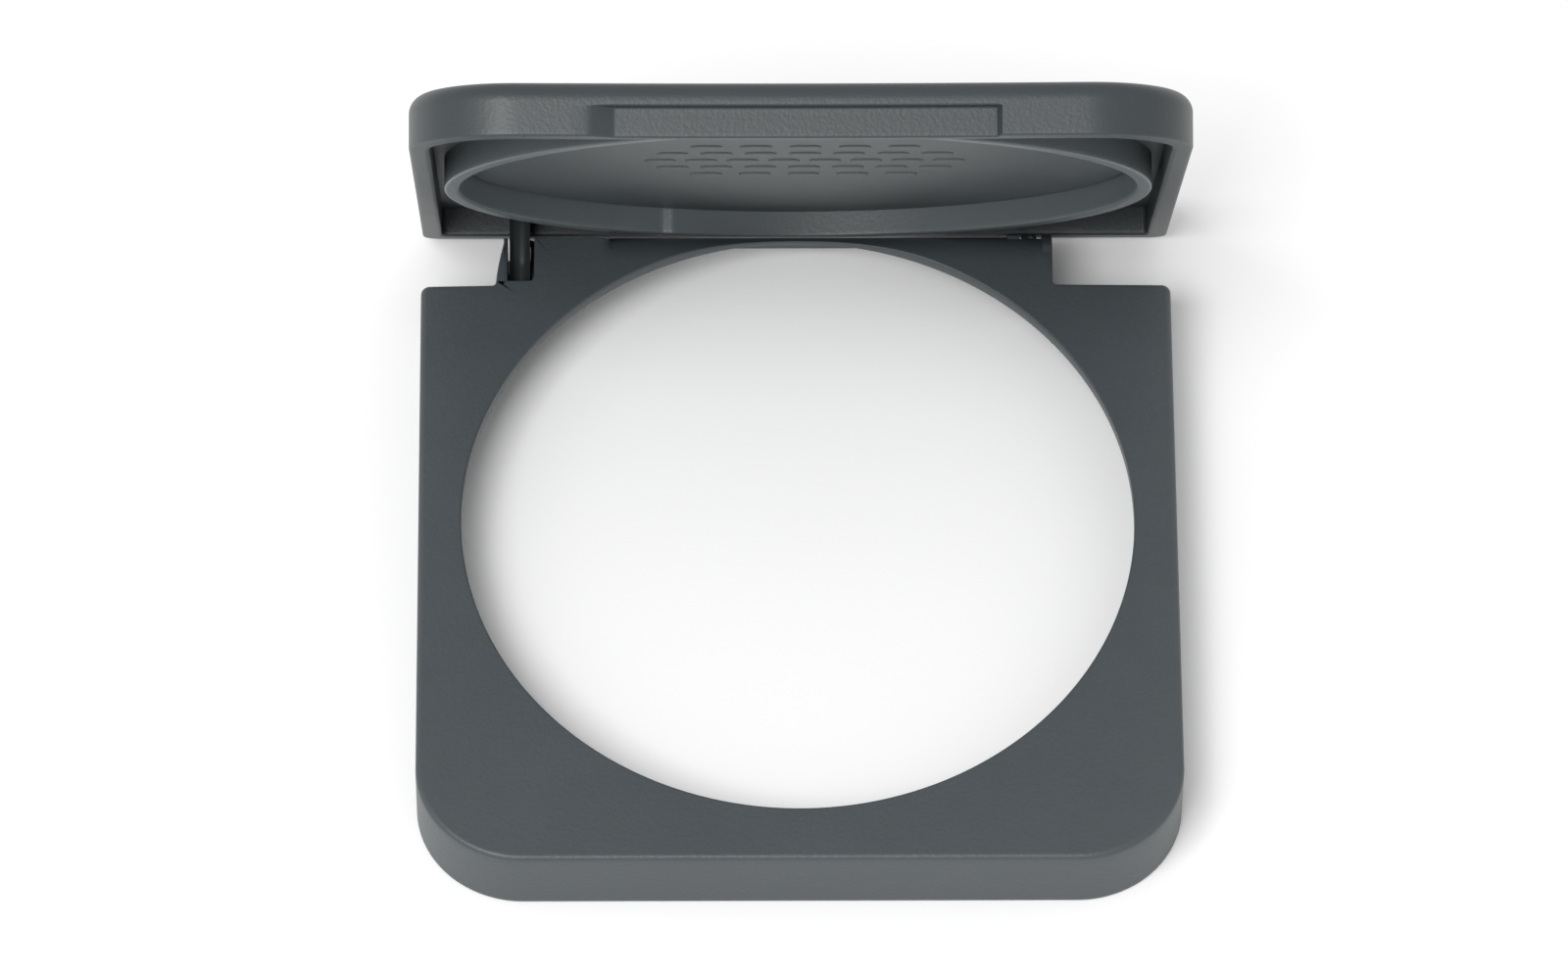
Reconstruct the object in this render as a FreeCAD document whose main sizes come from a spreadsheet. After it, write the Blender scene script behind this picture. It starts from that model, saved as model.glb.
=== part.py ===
"""Hinged flap cover for a round socket opening: a square frame, a lid with a sealing collar and the hinge.

Frame of reference: the origin is the centre of the round opening at the frame's back face, +Z points out of
the wall, +Y points to the hinge and the lid's free edge is at -Y. Lengths are in millimetres. The lid, its
sealing disc and nothing else are drawn closed, measured from the hinge axis, and then turned open about it.
"""
import FreeCAD, Part
import math
import os
import re
import Sketcher

SIZES = {
    # the round opening and the land of the frame around it
    "opening_radius": 22.16,
    "side_land": 2.84,
    "front_land": 3.84,
    "frame_height": 5.5,
    "plate": 0.9,
    "frame_wall": 1.2,
    "front_corner": 7.0,
    "arm_corner": 0.6,
    "notch_corner": 0.3,
    "frame_edge_round": 0.35,
    # the hinge axis and the round back of the tab that carries it
    "hinge_inset": 1.76,
    "hinge_drop": 3.1,
    "arm_to_hinge": 2.0,
    "barrel_over": 0.2,
    "tab_back": 1.77,
    "barrel_start": 1.7,
    "knuckle_radius": 1.5,
    "pin_radius": 0.75,
    "pin_fit": 0.02,
    "knuckle_fit": 0.05,
    "pin_cover": 0.45,
    "hinge_land": 2.64,
    "rib_front": 1.0,
    "pin_end_gap": 0.1,
    # what stands side by side along the hinge axis, from the opening outwards
    "spring_rib": 1.0,
    "spring_bay": 2.26,
    "lug_slot": 1.76,
    "cheek": 0.78,
    "cheek_lean": 0.5,
    "plain_rib": 0.8,
    "end_block": 0.66,
    "lug_width": 1.0,
    "lug_gap": 0.25,
    "lug_back": 2.3,
    "lug_front_flat": 0.2,
    "crank_gap": 0.15,
    "crank_back": 1.0,
    "crank_foot": 2.65,
    "crank_slot": 2.2,
    "hinge_front_gap": 0.16,
    # the lid
    "lid_front_setback": 0.3,
    "lid_overhang": 0.2,
    "rim_gap": 0.15,
    "rim_rise": 0.35,
    "collar_gap": 0.3,
    "lid_rise": 3.7,
    "lid_plate": 1.3,
    "lid_side_wall": 1.3,
    "lid_front_wall": 1.7,
    "lid_rear_wall": 1.4,
    "lid_rear_corner": 1.3,
    "lid_inner_corner": 0.4,
    "lid_edge_round": 1.2,
    "collar_wall": 1.0,
    "collar_inset": 0.06,
    "grip_half_width": 13.0,
    "grip_height": 1.95,
    "grip_depth": 0.7,
    "grip_slope": 1.5,
    # the soft disc in the collar
    "disc_thickness": 0.4,
    "disc_gap": 0.25,
    # the closing spring
    "wire_radius": 0.22,
    "coil_gap": 0.23,
    "coil_pitch": 0.47,
    "coil_turns": 4,
    "coil_side_gap": 0.25,
    "leg_lean": 30.0,
    "moving_leg": 2.6,
    "leg_bend": 0.4,
    "hook_length": 0.6,
    "hook_fit": 0.08,
    "resting_leg": 1.4,
    "spring_rest_width": 1.0,
    "spring_rest_depth": 0.6,
    "spring_rest_gap": 0.03,
    # how far the lid stands open at rest, in degrees
    "rest_opening": 64.6,
}

# Distances worked out from the sizes above, written once and used by every piece that meets there.
DERIVED = {
    "half_width": "(opening_radius + side_land)",
    "front_face": "(opening_radius + front_land)",
    "hinge_y": "(opening_radius - hinge_inset)",
    "hinge_z": "(frame_height - hinge_drop)",
    "arm_end": "(opening_radius - hinge_inset - arm_to_hinge)",
    "barrel_radius": "(hinge_drop + barrel_over)",
    "pin_inner": "sqrt(opening_radius^2 - (hinge_y - pin_radius - hinge_land)^2)",
    "bay_inner": "(pin_inner + spring_rib)",
    "slot_inner": "(bay_inner + spring_bay)",
    "slot_outer": "(slot_inner + lug_slot)",
    "tab_left": "(slot_outer + cheek)",
    "right_slot": "(pin_inner + plain_rib)",
    "right_slot_end": "(right_slot + lug_width + 2 * lug_gap)",
    "tab_right": "(right_slot_end + end_block)",
    "hinge_bay_front": "(hinge_y - knuckle_radius - hinge_front_gap)",
    "flat_end": "(hinge_y + sqrt(barrel_radius^2 - hinge_drop^2))",
    "bay_height": "(frame_height - plate)",
    "tab_step": "(hinge_y + tab_back)",
    # the lid's own distances are measured from the hinge axis
    "lid_front": "(front_face - lid_front_setback + hinge_y)",
    "lid_back": "(barrel_radius + lid_overhang)",
    "rim_low": "(hinge_drop + rim_gap)",
    "collar_rim": "(hinge_drop + collar_gap)",
    "lid_top": "(hinge_drop + lid_rise)",
    "lid_ceiling": "(lid_top - lid_plate)",
    "collar_inner": "(opening_radius - collar_inset)",
    "rim_back": "(rim_low + rim_rise)",
    "lug_root": "(lid_ceiling + lid_plate / 2)",
    "coil_radius": "(pin_radius + coil_gap + wire_radius)",
    "coil_start": "(-slot_outer + lug_gap + lug_width + coil_side_gap + wire_radius)",
    "coil_end": "(coil_start + coil_pitch * coil_turns)",
    "hook_out": "(moving_leg * sin(leg_lean * 1 deg) - coil_radius * cos(leg_lean * 1 deg))",
    "hook_up": "(moving_leg * cos(leg_lean * 1 deg) + coil_radius * sin(leg_lean * 1 deg))",
}

doc = FreeCAD.newDocument("flap_cover")
sheet = doc.addObject("Spreadsheet::Sheet", "sizes")
for row, (alias, number) in enumerate(SIZES.items(), start=1):
    sheet.set("A%d" % row, alias)
    sheet.set("B%d" % row, repr(number))
    sheet.setAlias("B%d" % row, alias)
doc.recompute()


def bound(text):
    """Turn an expression in the names above into one that reads the sheet."""
    def replace(match):
        word = match.group()
        if word in DERIVED:
            return bound(DERIVED[word])
        if word in SIZES:
            return "sizes." + word
        return word
    return re.sub(r"[a-z_]{3,}", replace, str(text))


def value(text):
    """The number that an expression has now."""
    result = sheet.evalExpression(bound(text))
    return float(getattr(result, "Value", result))


def new_body(label):
    """A body that carries one piece of the cover."""
    body = doc.addObject("PartDesign::Body", label)
    body.Label = label
    return body


def new_sketch(body, name, role="XY_Plane", offset="0"):
    """An empty sketch on one of the body's own origin planes, moved along the plane's normal by offset."""
    sketch = body.newObject("Sketcher::SketchObject", name)
    plane = [feature for feature in body.Origin.OriginFeatures if feature.Role == role][0]
    sketch.AttachmentSupport = [(plane, "")]
    sketch.MapMode = "FlatFace"
    sketch.setExpression("AttachmentOffset.Base.z", bound(offset))
    return sketch


def fix_point(sketch, geometry, end, x_text, y_text):
    """Hold one end of a line or a centre at a place that the sheet gives."""
    for kind, text in (("DistanceX", x_text), ("DistanceY", y_text)):
        number = sketch.addConstraint(Sketcher.Constraint(kind, geometry, end, value(text)))
        sketch.setExpression("Constraints[%d]" % number, bound(text))


def draw_outline(sketch, corners):
    """Draw a closed outline through corners (x, y) or (x, y, radius); rounded corners join sides along x and y."""
    places = [(value(corner[0]), value(corner[1])) for corner in corners]
    stops = []
    for index, corner in enumerate(corners):
        x_text, y_text = corner[0], corner[1]
        if len(corner) == 2:
            stops.append([(x_text, y_text)])
            continue
        pair = []
        for neighbour in (index - 1, (index + 1) % len(corners)):
            step_x = places[neighbour][0] - places[index][0]
            step_y = places[neighbour][1] - places[index][1]
            if abs(step_x) > abs(step_y):
                sign = "+" if step_x > 0 else "-"
                pair.append(("%s %s %s" % (x_text, sign, corner[2]), y_text))
            else:
                sign = "+" if step_y > 0 else "-"
                pair.append((x_text, "%s %s %s" % (y_text, sign, corner[2])))
        stops.append(pair)
    for index, corner in enumerate(corners):
        begin = stops[index][-1]
        finish = stops[(index + 1) % len(corners)][0]
        line = sketch.addGeometry(Part.LineSegment(to_vector(begin), to_vector(finish)), False)
        fix_point(sketch, line, 1, *begin)
        fix_point(sketch, line, 2, *finish)
    for index, corner in enumerate(corners):
        if len(corner) == 3:
            draw_corner(sketch, index, len(corners), stops[index], places[index], corner[2])


def draw_corner(sketch, index, count, stop, place, radius_text):
    """Join the line before a corner to the line after it with a tangent arc."""
    begin, finish = to_vector(stop[0]), to_vector(stop[1])
    centre = begin + finish - FreeCAD.Vector(place[0], place[1], 0)
    radius = value(radius_text)
    middle = centre + (FreeCAD.Vector(place[0], place[1], 0) - centre).normalize() * radius
    arc = sketch.addGeometry(Part.Arc(begin, middle, finish), False)
    starts_at_begin = sketch.getPoint(arc, 1).distanceToPoint(begin) < 1e-6
    first, second = (1, 2) if starts_at_begin else (2, 1)
    sketch.addConstraint(Sketcher.Constraint("Coincident", arc, first, (index - 1) % count, 2))
    sketch.addConstraint(Sketcher.Constraint("Coincident", arc, second, index, 1))
    number = sketch.addConstraint(Sketcher.Constraint("Radius", arc, radius))
    sketch.setExpression("Constraints[%d]" % number, bound(radius_text))


def draw_circle(sketch, x_text, y_text, radius_text):
    """Draw a circle at a place and of a radius that the sheet gives."""
    centre = FreeCAD.Vector(value(x_text), value(y_text), 0)
    circle = sketch.addGeometry(Part.Circle(centre, FreeCAD.Vector(0, 0, 1), value(radius_text)), False)
    fix_point(sketch, circle, 3, x_text, y_text)
    number = sketch.addConstraint(Sketcher.Constraint("Radius", circle, value(radius_text)))
    sketch.setExpression("Constraints[%d]" % number, bound(radius_text))


def to_vector(pair):
    """The place of an (x, y) pair of expressions as a vector."""
    return FreeCAD.Vector(value(pair[0]), value(pair[1]), 0)


def pad(body, sketch, length):
    """Add material from the sketch along its normal."""
    feature = body.newObject("PartDesign::Pad", sketch.Name + "_pad")
    feature.Profile = sketch
    feature.setExpression("Length", bound(length))
    doc.recompute()
    return feature


def cut(body, sketch, length):
    """Remove material from the sketch along its normal, and see that something went."""
    before = body.Shape.Volume
    feature = body.newObject("PartDesign::Pocket", sketch.Name + "_cut")
    feature.Profile = sketch
    feature.Reversed = True
    feature.setExpression("Length", bound(length))
    doc.recompute()
    if body.Shape.Volume > before - 1e-4:
        raise RuntimeError("%s cuts nothing" % feature.Label)
    return feature


def box_cut(body, name, left, right, front, back, low, high):
    """Remove an upright box whose six faces are given."""
    sketch = new_sketch(body, name, offset=low)
    draw_outline(sketch, [(left, front), (right, front), (right, back), (left, back)])
    return cut(body, sketch, "(%s) - (%s)" % (high, low))


def box_pad(body, name, left, right, front, back, low, high):
    """Add an upright box whose six faces are given."""
    sketch = new_sketch(body, name, offset=low)
    draw_outline(sketch, [(left, front), (right, front), (right, back), (left, back)])
    return pad(body, sketch, "(%s) - (%s)" % (high, low))


def round_edges(body, name, radius, chosen):
    """Round the edges that a test picks."""
    base = body.Tip
    names = ["Edge%d" % (i + 1) for i, edge in enumerate(base.Shape.Edges) if chosen(edge)]
    feature = body.newObject("PartDesign::Fillet", name)
    feature.Base = (base, names)
    feature.setExpression("Radius", bound(radius))
    doc.recompute()
    return feature


def make_frame():
    """The moulded frame: a shallow shell round the opening, with the tab that carries the hinge at the back."""
    body = new_body("cover_frame")
    block = new_sketch(body, "frame_outline")
    draw_outline(block, [
        ("-half_width", "-front_face", "front_corner"),
        ("half_width", "-front_face", "front_corner"),
        ("half_width", "arm_end", "arm_corner"),
        ("tab_right", "arm_end", "notch_corner"),
        ("tab_right", "hinge_y + barrel_radius"),
        ("-pin_inner + barrel_start", "hinge_y + barrel_radius"),
        ("-pin_inner + barrel_start", "tab_step"),
        ("-tab_left + cheek_lean", "tab_step"),
        ("-tab_left", "hinge_y + pin_radius + pin_fit * 2"),
        ("-tab_left", "arm_end", "notch_corner"),
        ("-half_width", "arm_end", "arm_corner"),
    ])
    pad(body, block, "frame_height")
    round_outer_edge(body)

    back = new_sketch(body, "barrel_back", role="YZ_Plane", offset="-pin_inner + barrel_start")
    draw_barrel_waste(back)
    cut(body, back, "pin_inner - barrel_start + tab_right")

    hollow = new_sketch(body, "frame_hollow")
    draw_outline(hollow, [
        ("-half_width + frame_wall", "-front_face + frame_wall", "front_corner - frame_wall"),
        ("half_width - frame_wall", "-front_face + frame_wall", "front_corner - frame_wall"),
        ("half_width - frame_wall", "arm_end - frame_wall"),
        ("-half_width + frame_wall", "arm_end - frame_wall"),
    ])
    cut(body, hollow, "bay_height")
    make_hinge_bays(body)

    opening = new_sketch(body, "round_opening")
    draw_circle(opening, "0", "0", "opening_radius")
    cut(body, opening, "frame_height")

    bore = new_sketch(body, "pin_bore", role="YZ_Plane", offset="-half_width")
    draw_circle(bore, "hinge_y", "hinge_z", "pin_radius + pin_fit")
    cut(body, bore, "2 * half_width")
    return body


def draw_barrel_waste(sketch):
    """The corner behind and above the tab's round back, which is centred on the hinge axis."""
    top_front = ("flat_end", "frame_height")
    top_back = ("hinge_y + barrel_radius", "frame_height")
    level_back = ("hinge_y + barrel_radius", "hinge_z")
    for begin, finish in ((top_front, top_back), (top_back, level_back)):
        line = sketch.addGeometry(Part.LineSegment(to_vector(begin), to_vector(finish)), False)
        fix_point(sketch, line, 1, *begin)
        fix_point(sketch, line, 2, *finish)
    centre = to_vector(("hinge_y", "hinge_z"))
    towards = (to_vector(top_front) + to_vector(level_back)) * 0.5 - centre
    middle = centre + towards.normalize() * value("barrel_radius")
    arc = sketch.addGeometry(Part.Arc(to_vector(level_back), middle, to_vector(top_front)), False)
    starts_level = sketch.getPoint(arc, 1).distanceToPoint(to_vector(level_back)) < 1e-6
    first, second = (1, 2) if starts_level else (2, 1)
    sketch.addConstraint(Sketcher.Constraint("Coincident", arc, first, 1, 2))
    sketch.addConstraint(Sketcher.Constraint("Coincident", arc, second, 0, 1))
    number = sketch.addConstraint(Sketcher.Constraint("Radius", arc, value("barrel_radius")))
    sketch.setExpression("Constraints[%d]" % number, bound("barrel_radius"))


def make_hinge_bays(body):
    """Open the tab from below for the two lugs, the spring and the cores between the ribs."""
    behind = "hinge_y + barrel_radius + 1"
    box_cut(body, "left_slot", "-slot_outer", "-slot_inner", "hinge_bay_front", behind, "0", "frame_height")
    box_cut(body, "spring_hollow", "-slot_inner", "-bay_inner", "hinge_bay_front", behind, "0", "bay_height")
    box_cut(body, "right_hollow", "right_slot", "right_slot_end", "hinge_bay_front", behind, "0", "bay_height")
    box_cut(body, "right_slot_back", "right_slot", "right_slot_end", "hinge_y + crank_slot", behind,
            "0", "frame_height")
    wall_front = "arm_end - frame_wall"
    box_cut(body, "hinge_front", "-slot_inner", "right_slot_end", wall_front, "hinge_y - rib_front",
            "0", "bay_height")
    box_cut(body, "middle_hollow", "-pin_inner", "pin_inner", wall_front, behind, "0", "bay_height")
    box_cut(body, "rib_foot", "-bay_inner", "right_slot", wall_front, behind,
            "0", "hinge_z - pin_radius - pin_cover")


def round_outer_edge(body):
    """Soften the frame's outer top edge: the rounding runs on from the front edge to the hinge tab."""
    top = value("frame_height")
    front = value("front_face")

    def front_edge(edge):
        box = edge.BoundBox
        return box.ZMin > top - 1e-3 and box.YMax < 1e-3 - front

    round_edges(body, "outer_edge", "frame_edge_round", front_edge)


def make_lid():
    """The lid: a cap over the whole frame with a round collar inside and two lugs down to the hinge axis."""
    body = new_body("lid")
    block = new_sketch(body, "lid_outline", offset="rim_low")
    draw_outline(block, [
        ("-half_width", "-lid_front", "front_corner"),
        ("half_width", "-lid_front", "front_corner"),
        ("half_width", "lid_back", "lid_rear_corner"),
        ("-half_width", "lid_back", "lid_rear_corner"),
    ])
    pad(body, block, "lid_top - rim_low")
    top = value("lid_top")
    round_edges(body, "lid_top_edge", "lid_edge_round", lambda edge: edge.BoundBox.ZMin > top - 1e-3)

    hollow = new_sketch(body, "lid_hollow", offset="rim_low")
    draw_outline(hollow, [
        ("-half_width + lid_side_wall", "-lid_front + lid_front_wall", "front_corner - lid_side_wall"),
        ("half_width - lid_side_wall", "-lid_front + lid_front_wall", "front_corner - lid_side_wall"),
        ("half_width - lid_side_wall", "lid_back - lid_rear_wall", "lid_inner_corner"),
        ("-half_width + lid_side_wall", "lid_back - lid_rear_wall", "lid_inner_corner"),
    ])
    cut(body, hollow, "lid_ceiling - rim_low")

    slope = new_sketch(body, "rim_slope", role="YZ_Plane", offset="-half_width")
    draw_outline(slope, [
        ("-lid_front", "rim_low"),
        ("lid_back", "rim_low"),
        ("lid_back", "rim_low + rim_rise"),
    ])
    cut(body, slope, "2 * half_width")

    collar = new_sketch(body, "collar_ring", offset="collar_rim")
    draw_circle(collar, "0", "-hinge_y", "collar_inner + collar_wall")
    draw_circle(collar, "0", "-hinge_y", "collar_inner")
    pad(body, collar, "lid_ceiling - collar_rim")
    cut_finger_grip(body)
    add_lugs(body)
    return body


def cut_finger_grip(body):
    """The shallow recess in the front of the skirt that a finger lifts the lid by."""
    grip = new_sketch(body, "finger_grip", offset="rim_low")
    draw_outline(grip, [
        ("-grip_half_width", "-lid_front"),
        ("-grip_half_width + grip_slope", "-lid_front + grip_depth"),
        ("grip_half_width - grip_slope / 5", "-lid_front + grip_depth"),
        ("grip_half_width", "-lid_front"),
    ])
    cut(body, grip, "grip_height")


def add_lugs(body):
    """The straight lug that stands in the left slot, and the cranked one that reaches under the tab."""
    straight = new_sketch(body, "left_lug", role="YZ_Plane", offset="-slot_outer + lug_gap")
    draw_outline(straight, [
        ("-knuckle_radius + lug_front_flat", "0"),
        ("knuckle_radius", "0"),
        ("lug_back", "rim_back"),
        ("lug_back", "lug_root"),
        ("-knuckle_radius + lug_front_flat", "lug_root"),
    ])
    pad(body, straight, "lug_width")
    add_knuckle(body, "left_knuckle", "-slot_outer + lug_gap")

    cranked = new_sketch(body, "right_lug", role="YZ_Plane", offset="right_slot + lug_gap")
    draw_outline(cranked, [
        ("-pin_radius", "0"),
        ("pin_radius", "-pin_radius"),
        ("crank_foot", "pin_radius"),
        ("lid_back - lid_rear_wall + crank_back", "rim_back"),
        ("lid_back - lid_rear_wall + crank_back", "lug_root"),
        ("crank_slot + crank_gap", "lug_root"),
        ("crank_slot + crank_gap", "knuckle_radius"),
        ("0", "knuckle_radius"),
    ])
    pad(body, cranked, "lug_width")
    add_knuckle(body, "right_knuckle", "right_slot + lug_gap")

    bore = new_sketch(body, "lug_bore", role="YZ_Plane", offset="-half_width")
    draw_circle(bore, "0", "0", "pin_radius + knuckle_fit")
    cut(body, bore, "2 * half_width")

    hole = new_sketch(body, "hook_hole", role="YZ_Plane", offset="-slot_outer + lug_gap")
    draw_circle(hole, "hook_out", "hook_up", "wire_radius + hook_fit")
    cut(body, hole, "lug_width")


def add_knuckle(body, name, offset):
    """The round end of a lug about the hinge axis."""
    knuckle = new_sketch(body, name, role="YZ_Plane", offset=offset)
    draw_circle(knuckle, "0", "0", "knuckle_radius")
    pad(body, knuckle, "lug_width")


def make_disc():
    """The soft disc that fills the floor of the collar."""
    body = new_body("lid_sealing_disc")
    disc = new_sketch(body, "disc_outline", offset="lid_ceiling - disc_thickness")
    draw_circle(disc, "0", "-hinge_y", "collar_inner - disc_gap")
    pad(body, disc, "disc_thickness")
    return body


def make_pin(label, start, length):
    """A plain steel pin along the hinge axis."""
    pin = doc.addObject("Part::Cylinder", label)
    pin.Label = label
    pin.setExpression("Radius", bound("pin_radius"))
    pin.setExpression("Height", bound(length))
    pin.Placement.Rotation = FreeCAD.Rotation(FreeCAD.Vector(0, 1, 0), 90)
    pin.setExpression("Placement.Base.x", bound(start))
    pin.setExpression("Placement.Base.y", bound("hinge_y"))
    pin.setExpression("Placement.Base.z", bound("hinge_z"))
    return pin


def make_spring():
    """The closing spring, one wire: a hook in the left lug, a leg along it, a coil and a leg under the plate."""
    radius, pitch = value("coil_radius"), value("coil_pitch")
    begin_angle = 180.0 - value("leg_lean") - value("rest_opening")
    whole_turns = value("coil_turns") + (90.0 - begin_angle) / 360.0
    coil = Part.makeHelix(pitch, pitch * whole_turns, radius)
    along_x = FreeCAD.Rotation(FreeCAD.Vector(0, 1, 0), FreeCAD.Vector(0, 0, 1), FreeCAD.Vector(1, 0, 0), "ZXY")
    to_start = FreeCAD.Rotation(FreeCAD.Vector(1, 0, 0), begin_angle)
    place = FreeCAD.Vector(value("coil_start"), value("hinge_y"), value("hinge_z"))
    coil.Placement = FreeCAD.Placement(place, to_start * along_x)

    start, start_heading = coil_point(begin_angle, value("coil_start"))
    finish, finish_heading = coil_point(90.0, value("coil_start") + pitch * whole_turns)
    bend = value("leg_bend")
    corner = start - start_heading * value("moving_leg")
    sideways = FreeCAD.Vector(-1, 0, 0)
    leg_end = corner + start_heading * bend
    hook_start = corner + sideways * bend
    arc_middle = corner + (start_heading + sideways) * bend * (1 - math.sqrt(0.5))
    path = Part.Wire([
        Part.makeLine(hook_start + sideways * value("hook_length"), hook_start),
        Part.Arc(hook_start, arc_middle, leg_end).toShape(),
        Part.makeLine(leg_end, start),
        *coil.Edges,
        Part.makeLine(finish, finish + finish_heading * value("resting_leg")),
    ])
    section = Part.Wire([Part.makeCircle(value("wire_radius"), path.Vertexes[0].Point, sideways)])
    spring = doc.addObject("Part::Feature", "torsion_spring")
    spring.Label = "torsion_spring"
    spring.Shape = path.makePipeShell([section], True, False)
    return spring


def coil_point(angle, along):
    """A point of the coil at an angle about the hinge axis, and the way the wire runs on from there."""
    turn = math.radians(angle)
    radius = value("coil_radius")
    point = FreeCAD.Vector(along, value("hinge_y") + radius * math.cos(turn),
                           value("hinge_z") + radius * math.sin(turn))
    heading = FreeCAD.Vector(value("coil_pitch") / (2 * math.pi), -radius * math.sin(turn),
                             radius * math.cos(turn))
    return point, heading.normalize()


def open_up(body):
    """Turn a piece of the closed lid about the hinge axis to where the lid stands at rest."""
    body.Placement.Rotation = FreeCAD.Rotation(FreeCAD.Vector(-1, 0, 0), SIZES["rest_opening"])
    body.setExpression("Placement.Rotation.Angle", bound("rest_opening"))
    body.setExpression("Placement.Base.y", bound("hinge_y"))
    body.setExpression("Placement.Base.z", bound("hinge_z"))


frame = make_frame()
box_pad(frame, "spring_rest", "coil_end - spring_rest_width / 2", "coil_end + spring_rest_width / 2",
        "hinge_bay_front", "hinge_bay_front + spring_rest_depth",
        "hinge_z + coil_radius + wire_radius + spring_rest_gap", "bay_height")
lid = make_lid()
disc = make_disc()
open_up(lid)
open_up(disc)
left_pin = make_pin("hinge_pin_left", "-tab_left + pin_end_gap", "tab_left - pin_end_gap - pin_inner")
right_pin = make_pin("hinge_pin_right", "pin_inner", "tab_right - pin_end_gap - pin_inner")
spring = make_spring()
doc.recompute()

for item in doc.Objects:
    if "Invalid" in item.State or "Error" in item.State:
        raise RuntimeError("%s did not compute" % item.Label)
os.makedirs("parts", exist_ok=True)
for piece in (frame, lid, disc, left_pin, right_pin, spring):
    shape = piece.Shape
    if shape.isNull() or not shape.isValid() or len(shape.Solids) != 1:
        raise RuntimeError("%s is not one sound solid" % piece.Label)
    print("%-18s %8.2f mm3" % (piece.Label, shape.Volume))
    shape.exportStep("parts/%s.step" % piece.Label)
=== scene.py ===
"""A hinged flap cover for a round socket outlet: moulded frame, open lid, soft disc, spring and pins.

Shapes are worked out in millimetres and put into meshes in metres. The lid is drawn closed, from the hinge
axis, as (x, out, up): out runs from the hinge away from the opening and up away from the wall. It is then
turned open by the angle at which it rests.
"""

import math

import bpy
import numpy as np
from mathutils import Matrix, Vector


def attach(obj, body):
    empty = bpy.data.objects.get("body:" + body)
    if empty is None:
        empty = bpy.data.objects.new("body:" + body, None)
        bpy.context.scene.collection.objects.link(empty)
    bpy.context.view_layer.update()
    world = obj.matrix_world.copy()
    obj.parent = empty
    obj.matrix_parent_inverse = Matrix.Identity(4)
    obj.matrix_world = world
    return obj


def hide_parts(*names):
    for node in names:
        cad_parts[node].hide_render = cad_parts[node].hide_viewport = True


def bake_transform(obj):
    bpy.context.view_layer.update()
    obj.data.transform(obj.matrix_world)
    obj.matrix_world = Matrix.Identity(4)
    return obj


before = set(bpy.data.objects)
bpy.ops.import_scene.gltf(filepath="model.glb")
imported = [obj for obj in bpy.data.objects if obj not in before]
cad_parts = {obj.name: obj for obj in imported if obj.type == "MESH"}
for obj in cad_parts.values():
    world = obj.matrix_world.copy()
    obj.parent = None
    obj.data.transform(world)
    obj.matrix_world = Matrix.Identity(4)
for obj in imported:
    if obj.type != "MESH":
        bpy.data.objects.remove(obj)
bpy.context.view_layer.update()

MM = 0.001
OPENING_RADIUS = 22.16
HALF_WIDTH = 25.0
FRAME_FRONT = -26.0
FRAME_TOP = 5.5
PLATE = 0.9
ARM_END = 18.4
TAB_LEFT = -20.0
TAB_RIGHT = 17.16
TAB_BACK = 22.17
SLOT_LEFT, SLOT_RIGHT, SLOT_FRONT = -19.22, -17.46, 18.74
HINGE_Y, HINGE_Z = 20.4, 2.4
BARREL_RADIUS = 3.3
BARREL_LEFT = -12.5
LIP_RADIUS = 3.1
LIP_BACK = 22.58
REST_OPENING = math.radians(64.6)

LID_FRONT, LID_BACK = -46.1, 3.5
RIM_LOW, RIM_RISE = 3.25, 0.35
LID_TOP, LID_CEILING = 6.8, 5.5
SKIRT_WALLS = (1.7, 1.3, 1.4)
GRIP_LEFT, GRIP_RIGHT = -13.4, 12.65
SAG = 0.13
COLLAR_RIM, COLLAR_INNER, COLLAR_WALL = 3.4, 22.1, 1.0
DISC_RADIUS, DISC_FACE = 21.86, 5.1


# ---------------------------------------------------------------- meshes

def put_mesh(name, points, faces, body, finish, sharp=None):
    """Make a piece from points in millimetres and faces, with its finish and slot; it rides on a body."""
    mesh = bpy.data.meshes.new(name)
    mesh.from_pydata((np.asarray(points, float) * MM).tolist(), [], faces)
    mesh.validate()
    mesh.shade_smooth()
    if sharp is not None:
        mesh.set_sharp_from_angle(angle=math.radians(sharp))
    mesh.materials.append(finish)
    piece = bpy.data.objects.new(name, mesh)
    bpy.context.scene.collection.objects.link(piece)
    if body:
        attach(piece, body)
    return piece


def ring_faces(rows, count, closed_rows=False):
    """Quads between neighbouring loops of equal length; the last loop meets the first when closed_rows."""
    row = np.arange(rows if closed_rows else rows - 1)[:, None]
    step = np.arange(count)[None, :]
    after = (row + 1) % rows
    turn = (step + 1) % count
    corners = [row * count + step, row * count + turn, after * count + turn, after * count + step]
    return np.stack(corners, -1).reshape(-1, 4)


def capped_rings(loops, flat_ends=False):
    """A closed skin over loops (rows, count, 3).

    Its ends are fans to the middle of the first and of the last loop. With flat_ends they are one face each,
    which suits an outline with hollow corners.
    """
    rows, count, _ = loops.shape
    if flat_ends:
        near, far = list(range(count)), list(range((rows - 1) * count, rows * count))
        return loops.reshape(-1, 3), ring_faces(rows, count).tolist() + [near[::-1], far]
    points = np.concatenate([loops.reshape(-1, 3), loops[:1].mean(1), loops[-1:].mean(1)])
    step = np.arange(count)
    turn = (step + 1) % count
    first, last = rows * count, rows * count + 1
    base = (rows - 1) * count
    fans = [np.stack([np.full(count, first), turn, step], -1),
            np.stack([np.full(count, last), base + step, base + turn], -1)]
    faces = ring_faces(rows, count).tolist() + np.concatenate(fans).tolist()
    return points, faces


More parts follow.
